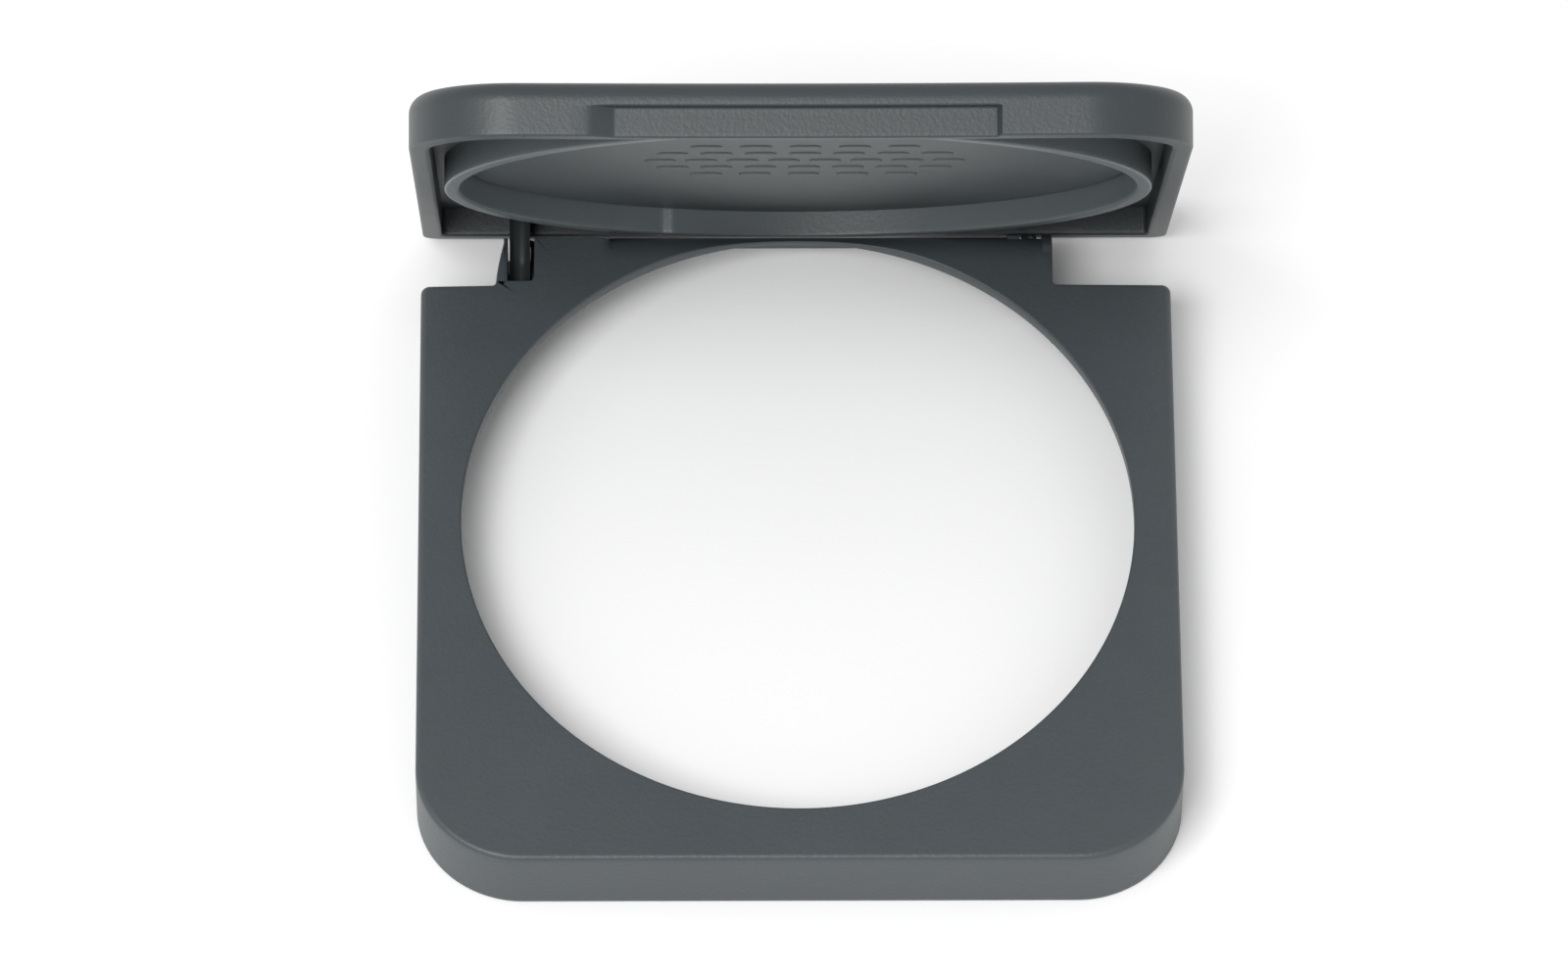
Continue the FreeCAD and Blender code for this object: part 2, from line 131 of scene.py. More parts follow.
def facing_out(points, faces):
    """Turn every face round when the closed skin's signed volume, the sum of a.(b x c)/6, is below zero."""
    volume = 0.0
    for corners in sorted({len(face) for face in faces}):
        some = np.array([face for face in faces if len(face) == corners])
        for second in range(1, corners - 1):
            a, b, c = points[some[:, 0]], points[some[:, second]], points[some[:, second + 1]]
            volume += np.einsum("ij,ij->", a, np.cross(b, c)) / 6
    return [face[::-1] for face in faces] if volume < 0 else faces


def skin(name, loops, body, finish, torus=False, sharp=None, flat_ends=False):
    """A closed piece over loops; torus joins the last loop to the first."""
    if torus:
        rows, count, _ = loops.shape
        points, faces = loops.reshape(-1, 3), ring_faces(rows, count, True).tolist()
    else:
        points, faces = capped_rings(loops, flat_ends)
    return put_mesh(name, points, facing_out(points, faces), body, finish, sharp)


def arc_steps(steps):
    """Angles of a quarter turn from 0 to 90 degrees."""
    return np.linspace(0.0, math.pi / 2, steps + 1)


def rounded_rectangle(left, right, front, back, front_radius, back_radius, runs):
    """Points of a rectangle with rounded corners, anticlockwise from the start of the left front corner.

    A corner is centre + radius (cos a, sin a); a side is the straight line between two corners, cut at the
    fractions that runs gives for it, so that loops of different sizes have matching points.
    """
    corners = [((left + front_radius, front + front_radius), front_radius, math.pi),
               ((right - front_radius, front + front_radius), front_radius, 1.5 * math.pi),
               ((right - back_radius, back - back_radius), back_radius, 0.0),
               ((left + back_radius, back - back_radius), back_radius, 0.5 * math.pi)]
    arcs = []
    for (cx, cy), radius, start in corners:
        turn = start + np.linspace(0.0, math.pi / 2, 25)
        arcs.append(np.stack([cx + radius * np.cos(turn), cy + radius * np.sin(turn)], -1))
    parts = []
    for index, arc in enumerate(arcs):
        begin, finish = arc[-1], arcs[(index + 1) % 4][0]
        parts.append(arc)
        parts.append(begin + (finish - begin) * runs[index][:, None])
    return np.concatenate(parts)


def opened(points):
    """Turn closed-lid points (x, out, up) about the hinge axis to where the lid rests open."""
    points = np.asarray(points, float)
    x, out, up = points[..., 0], points[..., 1], points[..., 2]
    cos, sin = math.cos(REST_OPENING), math.sin(REST_OPENING)
    return np.stack([x, HINGE_Y + out * cos + up * sin, HINGE_Z - out * sin + up * cos], -1)


# ---------------------------------------------------------------- materials

ANTHRACITE_DARK = (0.040, 0.050, 0.054)
ANTHRACITE_LIGHT = (0.067, 0.080, 0.086)
# The lid's colours are darker than the frame's anthracite: painted shade, toning down the light that falls on
# the lid's front.
LID_PAINTED_SHADE_DARK = (0.026, 0.033, 0.0355)
LID_PAINTED_SHADE_LIGHT = (0.041, 0.050, 0.054)
# The collar's colours are the lid's plastic made much lighter: painted light, brightening the collar's inner
# wall where it lies in shade.
COLLAR_PAINTED_LIGHT_LOW = (0.085, 0.100, 0.105)
COLLAR_PAINTED_LIGHT_HIGH = (0.115, 0.133, 0.140)
LUG_DARK = (0.022, 0.027, 0.029)
LUG_LIGHT = (0.03, 0.036, 0.038)
RUBBER_DARK = (0.052, 0.061, 0.065)
RUBBER_LIGHT = (0.068, 0.079, 0.083)


class Wire:
    """A shader value: one node's output, with sums and products that add their Math nodes."""

    def __init__(self, shader, socket):
        self.shader, self.socket = shader, socket

    def combine(self, operation, first, second):
        return self.shader.add("ShaderNodeMath", {"operation": operation}, {0: first, 1: second})

    def __add__(self, other):
        return self.combine("ADD", self, other)

    __radd__ = __add__

    def __mul__(self, other):
        return self.combine("MULTIPLY", self, other)

    __rmul__ = __mul__


class Shader:
    """A material with one Principled shader and a short way to add the nodes that feed it."""

    def __init__(self, name, colour, roughness, **constants):
        self.material = bpy.data.materials.new(name)
        self.material.use_nodes = True
        self.nodes, self.links = self.material.node_tree.nodes, self.material.node_tree.links
        self.surface = self.nodes["Principled BSDF"]
        self.surface.inputs["Base Color"].default_value = (*colour, 1)
        self.surface.inputs["Roughness"].default_value = roughness
        for key, value in constants.items():
            self.surface.inputs[key.replace("_", " ")].default_value = value

    def add(self, kind, settings=(), sockets=(), output=0):
        """Add a node: its settings first, then a value or a link for each socket; returns one output."""
        node = self.nodes.new(kind)
        for key, value in dict(settings).items():
            setattr(node, key, value)
        for key, value in dict(sockets).items():
            if isinstance(value, Wire):
                self.links.new(value.socket, node.inputs[key])
            else:
                node.inputs[key].default_value = value
        return Wire(self, node.outputs[output])

    def place(self):
        return self.add("ShaderNodeTexCoord", output="Object")

    def noise(self, scale, detail=2.0, roughness=0.5):
        sockets = {"Vector": self.place(), "Scale": scale, "Detail": detail, "Roughness": roughness}
        return self.add("ShaderNodeTexNoise", {}, sockets)

    def cells(self, scale):
        sockets = {"Vector": self.place(), "Scale": scale}
        return self.add("ShaderNodeTexVoronoi", {"feature": "SMOOTH_F1"}, sockets)

    def blend(self, factor, first, second):
        sockets = {0: factor, 6: (*first, 1), 7: (*second, 1)}
        return self.add("ShaderNodeMix", {"data_type": "RGBA"}, sockets, output=2)

    def feed(self, socket, wire):
        self.links.new(wire.socket, self.surface.inputs[socket])

    def bump(self, height, distance, strength):
        sockets = {"Height": height, "Distance": distance, "Strength": strength}
        self.feed("Normal", self.add("ShaderNodeBump", {}, sockets))


def grained_plastic(name, dark, light, roughness, grain, strength):
    """Spark-eroded moulded plastic: fine cells and noise, and a slow cloudiness over millimetres."""
    shader = Shader(name, light, roughness, Specular_IOR_Level=0.5)
    cloud = shader.noise(95.0, 4.0, 0.6)
    fine = shader.noise(grain * 1.7, 3.0, 0.65)
    pits = shader.cells(grain)
    shader.feed("Base Color", shader.blend(0.6 * cloud + 0.4 * fine, dark, light))
    shader.feed("Roughness", (roughness - 0.09) + 0.1 * fine + 0.08 * cloud)
    shader.bump(0.55 * pits + 0.45 * fine, 0.00004, strength)
    return shader.material


def soft_rubber():
    """The satin face of the soft disc, cloudy and finely pitted."""
    shader = Shader("disc_rubber", RUBBER_LIGHT, 0.42)
    cloud = shader.noise(140.0, 5.0, 0.6)
    fine = shader.noise(5200.0, 3.0, 0.6)
    shader.feed("Base Color", shader.blend(cloud, RUBBER_DARK, RUBBER_LIGHT))
    shader.feed("Roughness", 0.4 + 0.14 * cloud)
    shader.bump(fine + 0.6 * shader.noise(900.0), 0.00003, 0.3)
    return shader.material


def drawn_steel(name, colour, roughness):
    """Drawn wire or rod: bright metal with fine scratches."""
    shader = Shader(name, colour, roughness, Metallic=1.0)
    streak = shader.noise(2600.0, 3.0, 0.7)
    shader.feed("Roughness", (roughness - 0.08) + 0.16 * streak)
    shader.bump(streak, 0.00001, 0.25)
    return shader.material


def pale_floor():
    """A plain pale sweep."""
    shader = Shader("floor_paper", (0.93, 0.93, 0.93), 0.85, Specular_IOR_Level=0.1)
    return shader.material


frame_plastic = grained_plastic("frame_plastic", ANTHRACITE_DARK, ANTHRACITE_LIGHT, 0.42, 3600.0, 0.7)
# The lid's material is a darker copy of the anthracite plastic: painted shade against the light on its front.
lid_plastic = grained_plastic("lid_plastic", LID_PAINTED_SHADE_DARK, LID_PAINTED_SHADE_LIGHT, 0.42, 4400.0, 0.5)
# The collar's material is a lighter copy of the lid's plastic: painted light for its shaded inner wall.
collar_plastic_painted_light = grained_plastic("collar_plastic_painted_light", COLLAR_PAINTED_LIGHT_LOW, COLLAR_PAINTED_LIGHT_HIGH, 0.4, 4200.0, 0.5)
lug_plastic = grained_plastic("lug_plastic", LUG_DARK, LUG_LIGHT, 0.2, 2500.0, 0.05)
disc_rubber = soft_rubber()
spring_steel = drawn_steel("spring_steel", (0.16, 0.17, 0.175), 0.3)
pin_steel = drawn_steel("pin_steel", (0.1, 0.105, 0.11), 0.34)


# ---------------------------------------------------------------- the frame

def frame_outline():
    """The frame seen from above, anticlockwise: points, outward normals, edge roundings and spoke angles.

    Corners are arcs centre + radius (cos a, sin a); hollow corners turn the other way. Straight runs carry
    evenly spaced points. A spoke joins an outline point to the opening at its own angle, which only grows.
    """
    w, front, back = HALF_WIDTH, FRAME_FRONT, ARM_END
    big, small, notch, tight = 7.0, 0.6, 0.3, 0.12
    edge = 0.35

    def arc(cx, cy, radius, start, stop, steps, outward, rounding, spokes):
        turn = np.radians(np.linspace(start, stop, steps + 1))
        normal = np.stack([np.cos(turn), np.sin(turn)], -1)
        places = np.array([cx, cy]) + radius * normal
        return places, normal * outward, np.full(len(turn), rounding), np.linspace(*spokes, len(turn))

    parts = [
        arc(-w + big, front + big, big, 180, 270, 40, 1, edge, (217.2, 235.3)),
        arc(w - big, front + big, big, 270, 360, 40, 1, edge, (304.7, 322.8)),
        arc(w - small, back - small, small, 0, 90, 10, 1, edge, (395.5, 397.0)),
        arc(TAB_RIGHT + notch, back + notch, notch, 270, 180, 8, -1, 0.2, (406.5, 407.5)),
        arc(TAB_RIGHT - tight, LIP_BACK - tight, tight, 0, 90, 5, 1, 0.02, (411.0, 412.0)),
        arc(BARREL_LEFT + tight, LIP_BACK - tight, tight, 90, 180, 5, 1, 0.02, (478.3, 478.7)),
        arc(BARREL_LEFT - tight, TAB_BACK + tight, tight, 360, 270, 5, -1, 0.1, (479.2, 479.6)),
        arc(SLOT_RIGHT + tight, TAB_BACK - tight, tight, 90, 180, 5, 1, 0.1, (488.0, 488.4)),
        arc(SLOT_RIGHT - 0.35, SLOT_FRONT + 0.35, 0.35, 0, -90, 8, -1, 0.08, (490.5, 491.2)),
        arc(TAB_LEFT + tight, SLOT_FRONT - tight, tight, 90, 180, 5, 1, 0.08, (495.4, 495.8)),
        arc(TAB_LEFT - notch, back + notch, notch, 0, -90, 8, -1, 0.2, (496.8, 497.8)),
        arc(-w + small, back - small, small, 90, 180, 10, 1, edge, (503.0, 504.5)),
    ]
    columns = [[], [], [], []]
    for index, part in enumerate(parts):
        after = parts[(index + 1) % len(parts)]
        length = np.linalg.norm(after[0][0] - part[0][-1])
        share = np.linspace(0, 1, max(int(length / 0.45), 1) + 1)[1:-1]
        for column, (own, following) in enumerate(zip(part, after)):
            last, first = own[-1], following[0]
            if column == 3 and first < last:
                first = first + 360
            weight = share[:, None] if column < 2 else share
            columns[column] += [own, last + (first - last) * weight]
    return [np.concatenate(column) for column in columns]


def top_height(points):
    """The frame's top: level, but behind the hinge axis the tab's round back, axis + sqrt(r^2 - y^2)."""
    x, y = points[:, 0], points[:, 1]
    behind = np.clip(y - HINGE_Y, 0, LIP_RADIUS - 0.01)
    back = HINGE_Z + np.sqrt(LIP_RADIUS ** 2 - behind ** 2)
    share = np.clip((x - BARREL_LEFT + 0.15) / 0.3, 0, 1) * (y > HINGE_Y)
    return FRAME_TOP + share * (np.minimum(back, FRAME_TOP) - FRAME_TOP)


def make_frame_shell():
    """The moulded shell of the frame, one profile carried round the outline and back along the opening.

    From the opening's edge it goes over the top, round the outer edge, a quarter circle inset r(1 - sin a)
    and r(1 - cos a) deep, down the outside, along the back edge and up the inside to the plate. Under the
    tab only the plate is carried on.
    """
    place, normal, rounding, spoke = frame_outline()
    spoke = np.radians(spoke)
    circle = np.stack([np.cos(spoke), np.sin(spoke)], -1)
    under = FRAME_TOP - PLATE
    x, y = place[:, 0], place[:, 1]
    tab = (y > ARM_END + 0.25) & (x < TAB_RIGHT + 0.1) & (x > SLOT_RIGHT - 0.5)
    floor = np.where(tab, under - 0.1, 0.0)
    crest = top_height(place)

    def level(points, height):
        return np.concatenate([points, np.broadcast_to(height, (len(points),))[:, None]], -1)

    def outside(inset, height):
        return level(place - normal * inset[:, None], height)

    def round_hole(radius, drop=0.0, height=None):
        spots = circle * radius
        return level(spots, top_height(spots) - drop if height is None else height)

    wall = 1.2
    across = HALF_WIDTH - wall
    inner = np.stack([np.clip(x, -across, across), np.clip(y, FRAME_FRONT + wall, ARM_END - wall)], -1)
    corner = (np.abs(x) > 18.0) & (y < -19.0)
    inner[corner] = place[corner] - normal[corner] * wall
    inner[tab] = place[tab] - normal[tab] * 0.1

    rows = []
    rim = circle * (OPENING_RADIUS + 0.16)
    edge_in = place - normal * (rounding + 0.06)[:, None]
    for share in (0.0, 0.04, 0.12, 0.25, 0.4, 0.55, 0.7, 0.8, 0.88, 0.94, 1.0):
        spots = rim + (edge_in - rim) * share
        rows.append(level(spots, top_height(spots)))
    for a in arc_steps(6):
        rows.append(outside(rounding * (1 - math.sin(a)), crest - rounding * (1 - math.cos(a))))
    for share in (0.87, 0.55, 0.08, 0.02):
        rows.append(outside(rounding * 0, floor + (crest - rounding - floor) * share))
    rows.append(outside(np.where(tab, 0.03, 0.12), floor))
    rows += [level(inner, floor + (under - 0.1 * tab - floor) * share) for share in (0.0, 0.07, 0.95, 1.0)]
    rows += [round_hole(OPENING_RADIUS + inset, height=under) for inset in (0.25, 0.12)]
    lower, upper = 0.1, 0.14
    for a in arc_steps(3):
        radius = OPENING_RADIUS + lower * (1 - math.sin(a))
        rows.append(round_hole(radius, height=under + lower * (1 - math.cos(a))))
    for a in arc_steps(4)[::-1]:
        radius = OPENING_RADIUS + upper * (1 - math.sin(a))
        rows.append(round_hole(radius, drop=upper * (1 - math.cos(a))))
    return skin("frame_shell", np.array(rows), "frame", frame_plastic, torus=True, sharp=50)


def make_bar(name, left, right, profile, soften=0.05):
    """A part of the frame: a profile (y, z) carried along x, with closed ends and softened corners."""
    profile = np.asarray(profile, float)
    loops = np.array([np.concatenate([np.full((len(profile), 1), x), profile], -1) for x in (left, right)])
    piece = skin(name, loops, "frame", frame_plastic, sharp=35, flat_ends=True)
    bevel = piece.modifiers.new("soften", "BEVEL")
    bevel.width, bevel.segments = soften * MM, 2
    bevel.limit_method, bevel.angle_limit = "ANGLE", math.radians(40)
    bevel.harden_normals = True


def barrel_arc(start, stop, steps):
    """Points of the tab's round back: hinge axis + radius (sin a, cos a), a from the vertical."""
    a = np.radians(np.linspace(start, stop, steps + 1))
    return np.stack([HINGE_Y + BARREL_RADIUS * np.sin(a), HINGE_Z + BARREL_RADIUS * np.cos(a)], -1)


def make_hinge_tab():
    """The tab's round back, its cheek and what is under it, each a profile in the hinge's own plane."""
    begin = math.degrees(math.acos((FRAME_TOP - HINGE_Z) / BARREL_RADIUS))
    front = HINGE_Y + BARREL_RADIUS * math.sin(math.radians(begin))
    back, face, foot, ceiling = HINGE_Y + BARREL_RADIUS, 19.4, 1.2, 4.7

    block_end = [[back, 0.0], [face, 0.0], [face, 5.3], [front - 0.3, 5.48]]
    block = np.concatenate([barrel_arc(begin, 90, 22), block_end])
    make_bar("hinge_end_block", 16.5, TAB_RIGHT, block, 0.08)
    rib = np.concatenate([barrel_arc(45, 90, 12), [[back, foot], [face, foot], [face, ceiling]]])
    make_bar("hinge_rib_right", 14.2, 15.0, rib)
    make_bar("hinge_rib_left", -15.2, -14.2, [[face, foot], [22.1, foot], [22.1, ceiling], [face, ceiling]])
    make_bar("slot_floor", -19.4, -17.2, [[18.5, 0.0], [23.6, 0.0], [23.6, 0.5], [18.5, 0.5]])
    turn = np.radians(np.linspace(42, 88, 13))
    arc = np.stack([np.sin(turn), np.cos(turn)], -1)
    axis = np.array([HINGE_Y, HINGE_Z])
    web = np.concatenate([axis + LIP_RADIUS * arc, axis + (LIP_RADIUS - 0.3) * arc[::-1]])
    make_bar("hinge_back_web", BARREL_LEFT, 14.9, web, 0.04)
    wall = [[17.2, 0.0], [SLOT_FRONT, 0.0], [SLOT_FRONT, ceiling], [17.2, ceiling]]
    make_bar("slot_front_wall", TAB_LEFT, SLOT_RIGHT + 0.02, wall)
    make_cheek()


def make_cheek():
    """The thin cheek outside the slot: an upright plate whose outer side comes in towards its back end."""
    share = np.linspace(0, 1, 13)
    y = 18.5 + share * (TAB_BACK - 18.5)
    lean = 0.5 * np.clip((y - 18.7) / 3.1, 0, 1) ** 1.4
    outer = TAB_LEFT + lean
    inner = np.full(len(y), SLOT_LEFT)
    rows = []
    levels = ((0.0, 0.1), (0.12, 0.0), (2.5, 0.0), (5.3, 0.0), (5.42, 0.03), (5.48, 0.1), (FRAME_TOP, 0.2))
    for height, shrink in levels:
        left = np.stack([outer + shrink, y, np.full(len(y), height)], -1)
        right = np.stack([inner - shrink, y, np.full(len(y), height)], -1)
        row = np.concatenate([left, right[::-1]])
        row[:, 1] = np.where(row[:, 1] > TAB_BACK - 0.01, TAB_BACK - shrink, row[:, 1])
        rows.append(row)
    skin("hinge_cheek", np.array(rows), "frame", frame_plastic, sharp=50)


# ---------------------------------------------------------------- the lid

FRONT_RUN = np.concatenate([
    np.linspace(0.02, 0.12, 4),
    np.linspace(0.13, 0.19, 26),
    np.linspace(0.2, 0.8, 40),
    np.linspace(0.835, 0.862, 22),
    np.linspace(0.88, 0.98, 4),
])
PLAIN_RUN = np.linspace(0, 1, 30)[1:-1]


def lid_loop(inset, wall=None):
    """One loop round the lid, inset from its outside, or by wall's own front, side and back insets."""
    front, side, back = wall if wall else (inset, inset, inset)
    front_radius = max(7.0 - side, 0.4)
    back_radius = max(1.3 - back, 0.4) if wall else max(1.3 - inset, 0.1)
    return rounded_rectangle(-HALF_WIDTH + side, HALF_WIDTH - side, LID_FRONT + front, LID_BACK - back,
                             front_radius, back_radius, (FRONT_RUN, PLAIN_RUN, PLAIN_RUN, PLAIN_RUN))


def rim_height(out):
    """The skirt's rim, which rises evenly from the front to the hinge."""
    return RIM_LOW + RIM_RISE * (out - LID_FRONT) / (LID_BACK - LID_FRONT)


def grip_cover(x):
    """The finger grip's depth along the front, 0 to 1; its left end slopes gently, its right steeply."""
    left = np.clip((x - GRIP_LEFT) / 1.5, 0, 1)
    right = np.clip((GRIP_RIGHT - x) / 0.3, 0, 1)
    return np.minimum(left, right)


def warp(points):
    """The lid sags a little in the middle of its front, by SAG (1 - (x/w)^2), fading in towards the front."""
    x, out = points[..., 0], points[..., 1]
    share = np.clip((-out - 14.0) / 32.0, 0, 1)
    points[..., 2] -= SAG * (1 - (x / HALF_WIDTH) ** 2) * share * share * (3 - 2 * share)
    return points


def make_lid_shell():
    """The lid's cap and skirt: loops from its outer face's middle over the edge, round the rim and inside.

    The outer edge is a quarter circle of 1.2; the rim has small quarter circles on both sides; the grip
    moves the front wall in by up to 0.7 below its upper edge.
    """
    depth, edge = 0.7, 1.2
    rows = []

    def row(inset, height, grip=0.0, wall=None, from_rim=False):
        loop = lid_loop(inset, wall)
        place = np.concatenate([loop, np.zeros((len(loop), 1))], -1)
        front = loop[:, 1] < LID_FRONT + inset + 0.01
        if grip and wall is None:
            place[front, 1] += depth * grip * grip_cover(loop[front, 0])
        place[:, 2] = rim_height(loop[:, 1]) + height if from_rim else height
        rows.append(place)

    for inset in (16.0, 6.0, edge + 0.3):
        row(inset, LID_TOP)
    for a in arc_steps(10):
        row(edge * (1 - math.sin(a)), LID_TOP - edge * (1 - math.cos(a)))
    for height, grip in ((5.5, 0), (5.36, 0.0), (5.29, 0.012), (5.245, 0.06), (5.215, 0.2), (5.205, 0.5),
                         (5.2, 0.8), (5.17, 0.93), (5.12, 0.985), (5.04, 1.0), (4.6, 1.0), (4.2, 1.0)):
        row(0.0, height, grip)
    rim, land = 0.14, 0.22
    row(0.0, 0.34, 1.0, from_rim=True)
    for a in arc_steps(4)[::-1]:
        row(rim * (1 - math.sin(a)), rim * (1 - math.cos(a)), 1.0, from_rim=True)
    for share in (0.15, 0.9):
        wall = [rim + (full - land - rim) * share for full in SKIRT_WALLS]
        row(0.0, 0.0, wall=wall, from_rim=True)
        front = rows[-1][:, 1] < LID_FRONT + wall[0] + 0.01
        rows[-1][front, 1] += depth * (1 - share) * grip_cover(rows[-1][front, 0])
    for a in arc_steps(5):
        back = land * (1 - math.sin(a))
        row(0.0, land * (1 - math.cos(a)), wall=[full - back for full in SKIRT_WALLS], from_rim=True)
    row(0.0, 0.4, wall=SKIRT_WALLS, from_rim=True)
    for a in arc_steps(4)[::-1]:
        row(0.0, LID_CEILING - 0.3 * (1 - math.cos(a)), wall=SKIRT_WALLS)
    for extra in (0.5, 6.0, 16.0):
        row(0.0, LID_CEILING, wall=[full + extra for full in SKIRT_WALLS])
    piece = skin("lid_shell", opened(warp(np.array(rows))), "lid", lid_plastic, sharp=40)
    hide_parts("lid")


def make_lid_collar():
    """The round collar inside the lid, a closed section carried round a circle.

    Its inner wall steps in by 0.4 just left of the hinge's middle and runs back out to the right hand side.
    Its rim is 0.4 shorter at the front, where the skirt stands before it.
    """
    turn = np.linspace(0, 2 * math.pi, 721)[:-1]
    angle = np.degrees(turn)
    step_start, step_end = 112.3, 113.7
    slope = np.sin(np.clip(angle / step_start, 0, 1) * math.pi / 2) ** 1.5
    step = np.clip((step_end - angle) / (step_end - step_start), 0, 1)
    inset = np.where(angle <= step_start, slope, step)
    inner = COLLAR_INNER - 0.4 * inset
    outer = np.full(len(turn), COLLAR_INNER + COLLAR_WALL)
    rim = COLLAR_RIM + 0.4 * np.clip(-np.sin(turn), 0, 1) ** 2 - 0.05 * inset
    rows = []
    top = np.full(len(turn), LID_CEILING + 0.06)

    def row(radius, height):
        rows.append(np.stack([radius * np.cos(turn), -HINGE_Y + radius * np.sin(turn), height], -1))

    row(inner, top)
    row(inner, rim + 1.0)
    row(inner, rim + 0.4)
    for a in arc_steps(5)[::-1]:
        row(inner + 0.22 * (1 - math.sin(a)), rim + 0.22 * (1 - math.cos(a)))
    row(inner + 0.35, rim)
    row(outer - 0.25, rim)
    for a in arc_steps(4):
        row(outer - 0.14 * (1 - math.sin(a)), rim + 0.14 * (1 - math.cos(a)))
    row(outer, rim + 0.4)
    row(outer, top)
    # The collar gets the lighter copy of the lid's plastic, which is painted light.
    skin("lid_collar", opened(warp(np.array(rows))), "lid", collar_plastic_painted_light, torus=True, sharp=50)


def make_disc():
    """The soft disc on the collar's floor: a flat round pad with a small rounded rim."""
    turn = np.linspace(0, 2 * math.pi, 361)[:-1]
    rows = []
    back = LID_CEILING + 0.02
    edge = [(DISC_RADIUS - inset, height) for inset, height in
            ((0.0, back), (0.0, 5.3), (0.03, 5.17), (0.09, 5.12), (0.2, DISC_FACE), (0.5, DISC_FACE))]
    for radius, height in [(6.0, back), *edge, (12.0, DISC_FACE), (5.0, DISC_FACE)]:
        rows.append(np.stack([radius * np.cos(turn), -HINGE_Y + radius * np.sin(turn),
                              np.full(len(turn), height)], -1))
    piece = skin("sealing_disc", opened(np.array(rows)), "lid", disc_rubber, sharp=50)
    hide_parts("lid_sealing_disc")


def make_relief():
    """Rows of plain raised studs in the middle of the disc, each a low pillow with round ends."""
    turn = np.linspace(0, 2 * math.pi, 25)[:-1]
    points, faces, start = [], [], 0
    stud_rows = ((-28.4, 6.4, 5), (-25.4, 8.6, 7), (-22.4, 9.4, 8), (-19.4, 8.6, 7), (-16.4, 6.4, 5))
    for out, half, count in stud_rows:
        for x in 0.4 + np.linspace(-half, half, count):
            loops = []
            for spread, height in ((0.62, 5.14), (0.62, 5.06), (0.56, 5.01), (0.45, 4.985), (0.2, 4.98)):
                side = np.sign(np.cos(turn)) * 0.42 + spread * np.cos(turn)
                level = np.full(len(turn), height)
                loops.append(np.stack([x + side, out + spread * np.sin(turn), level], -1))
            own, quads = capped_rings(np.array(loops))
            faces += [[corner + start for corner in face] for face in facing_out(own, quads)]
            points.append(own)
            start += len(own)
    put_mesh("disc_studs", opened(np.concatenate(points)), faces, "lid", disc_rubber, 60)


def lug_section(profile, left, right, soften):
    """A lug: its side outline (out, up) carried across its width and narrowed between its two faces.

    Going in from either face by soften (1 - sin a), the outline is inset by the same amount.
    """
    before, after = np.roll(profile, 1, 0), np.roll(profile, -1, 0)
    tangent = after - before
    normal = np.stack([tangent[:, 1], -tangent[:, 0]], -1) / np.linalg.norm(tangent, axis=1)[:, None]
    near = [(left + soften * (1 - math.sin(a)), soften * (1 - math.sin(a))) for a in arc_steps(5)]
    far = [(left + right - x, inset) for x, inset in near]
    loops = []
    for x, inset in sorted(near + far):
        shape = profile - normal * inset
        loops.append(np.concatenate([np.full((len(shape), 1), x), shape], -1))
    return np.array(loops)


def smooth_outline(corners, radius, steps=6):
    """A closed outline through corners with each corner rounded by a short blend between its two sides."""
    corners = np.asarray(corners, float)
    before, after = np.roll(corners, 1, 0), np.roll(corners, -1, 0)
    size = np.minimum(radius, 0.45 * np.minimum(np.linalg.norm(corners - before, axis=1),
                                                np.linalg.norm(after - corners, axis=1)))[:, None]
    begin = corners + (before - corners) / np.linalg.norm(before - corners, axis=1)[:, None] * size
    finish = corners + (after - corners) / np.linalg.norm(after - corners, axis=1)[:, None] * size
    t = np.linspace(0, 1, steps + 1)[None, :, None]
    blend = (1 - t) ** 2 * begin[:, None] + 2 * t * (1 - t) * corners[:, None] + t ** 2 * finish[:, None]
    return blend.reshape(-1, 2)


def make_lugs():
    """The left lug, polished by its slot, and the cranked one under the tab's right end."""
    knuckle_radius, root = 1.45, 5.6
    turn = np.radians(np.linspace(180, 360, 19))
    round_end = knuckle_radius * np.stack([np.cos(turn), np.sin(turn)], -1)
    arm = [[1.6, 0.9], [2.0, 2.2], [2.3, 3.6], [2.3, root], [-1.25, root], [-1.3, 1.2]]
    left = np.concatenate([round_end, arm])
    skin("left_lug", opened(lug_section(smooth_outline(left, 0.2, 3), -19.12, -17.76, 0.3)), "lid",
         lug_plastic, sharp=60, flat_ends=True)
    turn = np.radians(np.linspace(90, 320, 24))
    knuckle = knuckle_radius * np.stack([np.cos(turn), np.sin(turn)], -1)
    crank = [[2.6, 0.75], [3.1, 3.6], [3.1, root], [2.38, root], [2.38, knuckle_radius]]
    right = np.concatenate([knuckle, crank])
    skin("right_lug", opened(lug_section(smooth_outline(right, 0.1, 3), 15.25, 16.25, 0.12)), "lid",
         lug_plastic, sharp=60, flat_ends=True)
    fillet = smooth_outline([[1.3, 3.75], [2.2, 3.65], [2.2, root], [1.3, root]], 0.1, 3)
    skin("left_lug_root", opened(lug_section(fillet, -18.8, -17.5, 0.1)), "lid", lid_plastic, sharp=60)


# ---------------------------------------------------------------- the spring and the pins

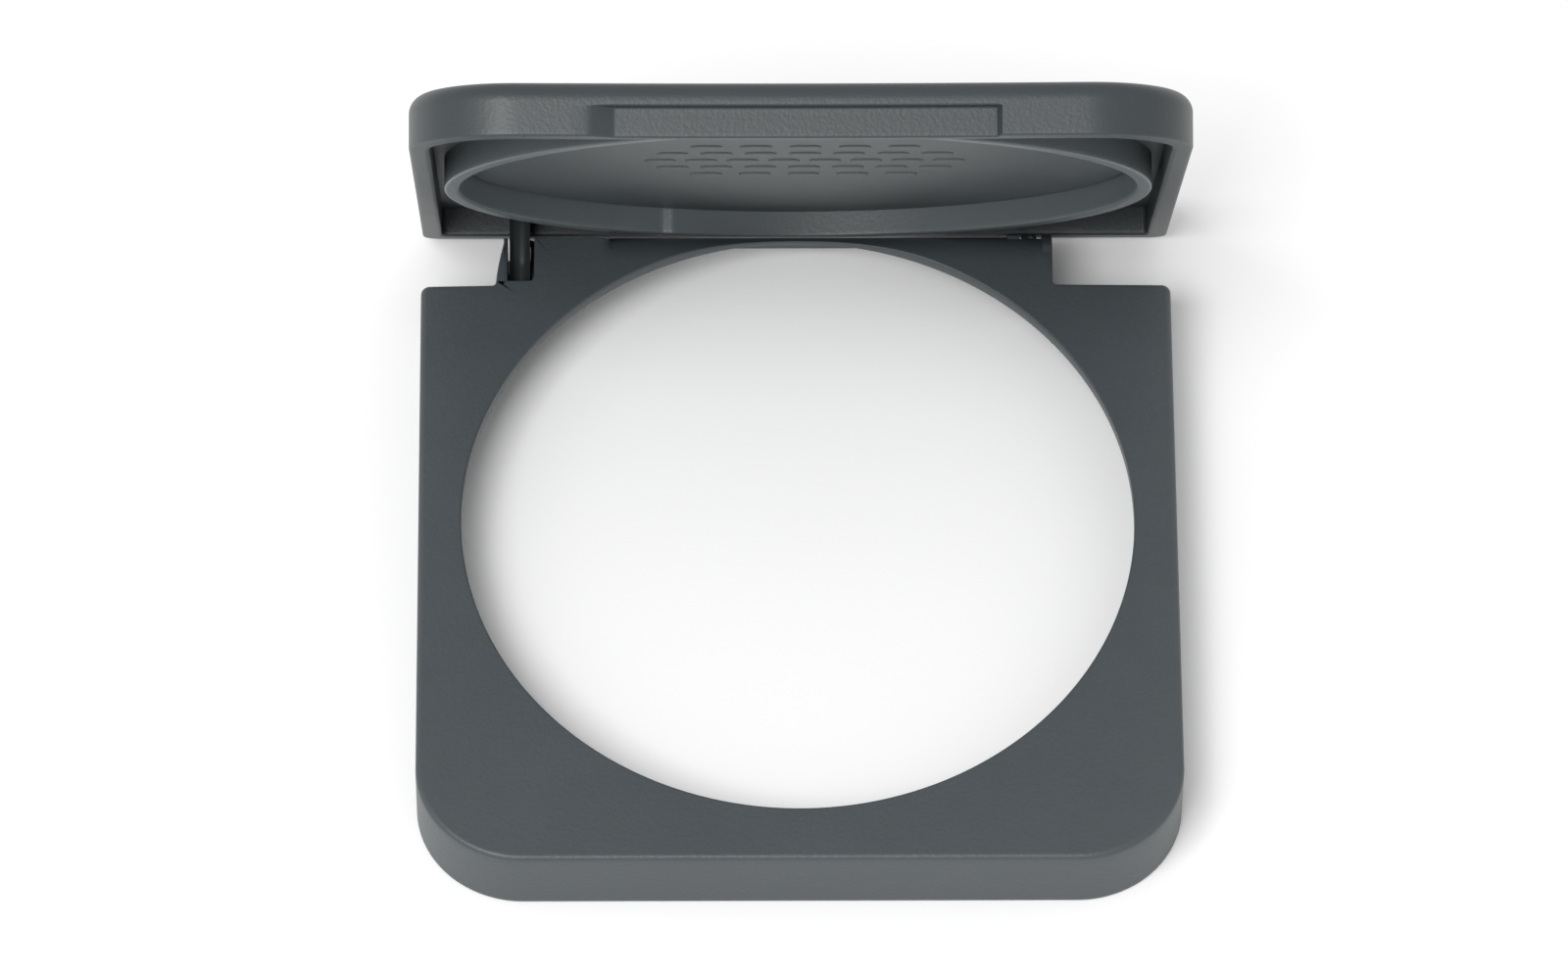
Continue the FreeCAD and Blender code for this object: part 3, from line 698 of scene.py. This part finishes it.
def make_spring():
    """The closing spring, a round wire carried along its path.

    Each ring of the wire is centre + radius (cos b, sin b) across the path. The coil is a helix about the
    hinge axis; a leg leaves it tangentially at each end and the moving one hooks sideways into the lug.
    """
    wire, coil, pitch, turns = 0.22, 1.2, 0.47, 4.0
    start_x = -17.5
    begin = math.radians(180 - 30) - REST_OPENING
    whole = turns + (math.pi / 2 - begin) / (2 * math.pi)
    a = begin + np.linspace(0, whole * 2 * math.pi, 260)
    x = start_x + pitch * (a - begin) / (2 * math.pi)
    helix = np.stack([x, HINGE_Y + coil * np.cos(a), HINGE_Z + coil * np.sin(a)], -1)
    first = np.array([0, -math.sin(a[0]), math.cos(a[0])])
    last = np.array([0, -math.sin(a[-1]), math.cos(a[-1])])
    corner = helix[0] - first * 2.6
    t = np.linspace(0, 1, 9)[:, None]
    side = np.array([-1.0, 0, 0])
    bend = (1 - t) ** 2 * (corner + side * 0.4) + 2 * t * (1 - t) * corner + t ** 2 * (corner + first * 0.4)
    run = np.linspace(0, 1, 12)[1:-1, None]
    leg = bend[-1] + (helix[0] - bend[-1]) * run
    tail = helix[-1] + last * np.linspace(0.12, 1.4, 8)[:, None]
    path = np.concatenate([[corner + side * 1.0], bend, leg, helix, tail])
    heading = np.gradient(path, axis=0)
    heading /= np.linalg.norm(heading, axis=1)[:, None]
    across = np.cross(heading, np.array([0.31, 0.87, 0.38]))
    across /= np.linalg.norm(across, axis=1)[:, None]
    over = np.cross(heading, across)
    b = np.linspace(0, 2 * math.pi, 17)[:-1]
    ring = across[:, None] * np.cos(b)[None, :, None] + over[:, None] * np.sin(b)[None, :, None]
    return skin("closing_spring", path[:, None] + wire * ring, None, spring_steel, sharp=60)


frame_shell = make_frame_shell()
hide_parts("cover_frame")
make_hinge_tab()
make_lid_shell()
make_lid_collar()
make_disc()
make_relief()
make_lugs()
spring = make_spring()
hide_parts("torsion_spring")
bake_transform(spring)
for name in ("hinge_pin_left", "hinge_pin_right"):
    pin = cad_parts[name]
    pin.data.materials.clear()
    pin.data.materials.append(pin_steel)


# ---------------------------------------------------------------- floor, light and camera

def make_floor():
    """A flat pale floor, far larger than the view."""
    mesh = bpy.data.meshes.new("floor")
    size, low = 3.0, -0.00003
    mesh.from_pydata([(-size, -size, low), (size, -size, low), (size, size, low), (-size, size, low)], [],
                     [(0, 1, 2, 3)])
    mesh.materials.append(pale_floor())
    floor = bpy.data.objects.new("floor", mesh)
    bpy.context.scene.collection.objects.link(floor)


def soft_light(name, place, size, power):
    """A square soft light aimed at the middle of the object."""
    light = bpy.data.lights.new(name, "AREA")
    light.shape, light.size, light.energy = "SQUARE", size, power
    lamp = bpy.data.objects.new(name, light)
    lamp.location = place
    lamp.rotation_euler = (Vector((0, 0.005, 0.01)) - Vector(place)).to_track_quat("-Z", "Y").to_euler()
    bpy.context.scene.collection.objects.link(lamp)


def make_camera():
    """The camera, far off with a long lens, looking down at the open cover and rolled a little."""
    place, target = Vector((-7.88, -409.46, 659.37)) * MM, Vector((-0.84, 5.63, 0)) * MM
    roll = math.radians(0.69)
    back = (place - target).normalized()
    right = Vector((0, 0, 1)).cross(back).normalized()
    up = back.cross(right)
    side = right * math.cos(roll) + up * math.sin(roll)
    over = up * math.cos(roll) - right * math.sin(roll)
    lens = bpy.data.cameras.new("camera")
    lens.lens, lens.sensor_width = 268.97, 36.0
    lens.clip_start, lens.clip_end = 0.01, 20.0
    camera = bpy.data.objects.new("camera", lens)
    turn = Matrix((side, over, back)).transposed().to_4x4()
    camera.matrix_world = Matrix.Translation(place) @ turn
    bpy.context.scene.collection.objects.link(camera)
    bpy.context.scene.camera = camera


world = bpy.data.worlds.new("studio")
world.use_nodes = True
world.node_tree.nodes["Background"].inputs["Color"].default_value = (1, 1, 1, 1)
world.node_tree.nodes["Background"].inputs["Strength"].default_value = 0.7
bpy.context.scene.world = world
make_floor()
soft_light("front_softbox", (-0.3, -0.44, 0.9), 0.5, 7.4)
soft_light("left_softbox", (-0.85, -0.2, 0.75), 0.35, 0.25)
make_camera()
bpy.context.scene.view_settings.view_transform = "Standard"
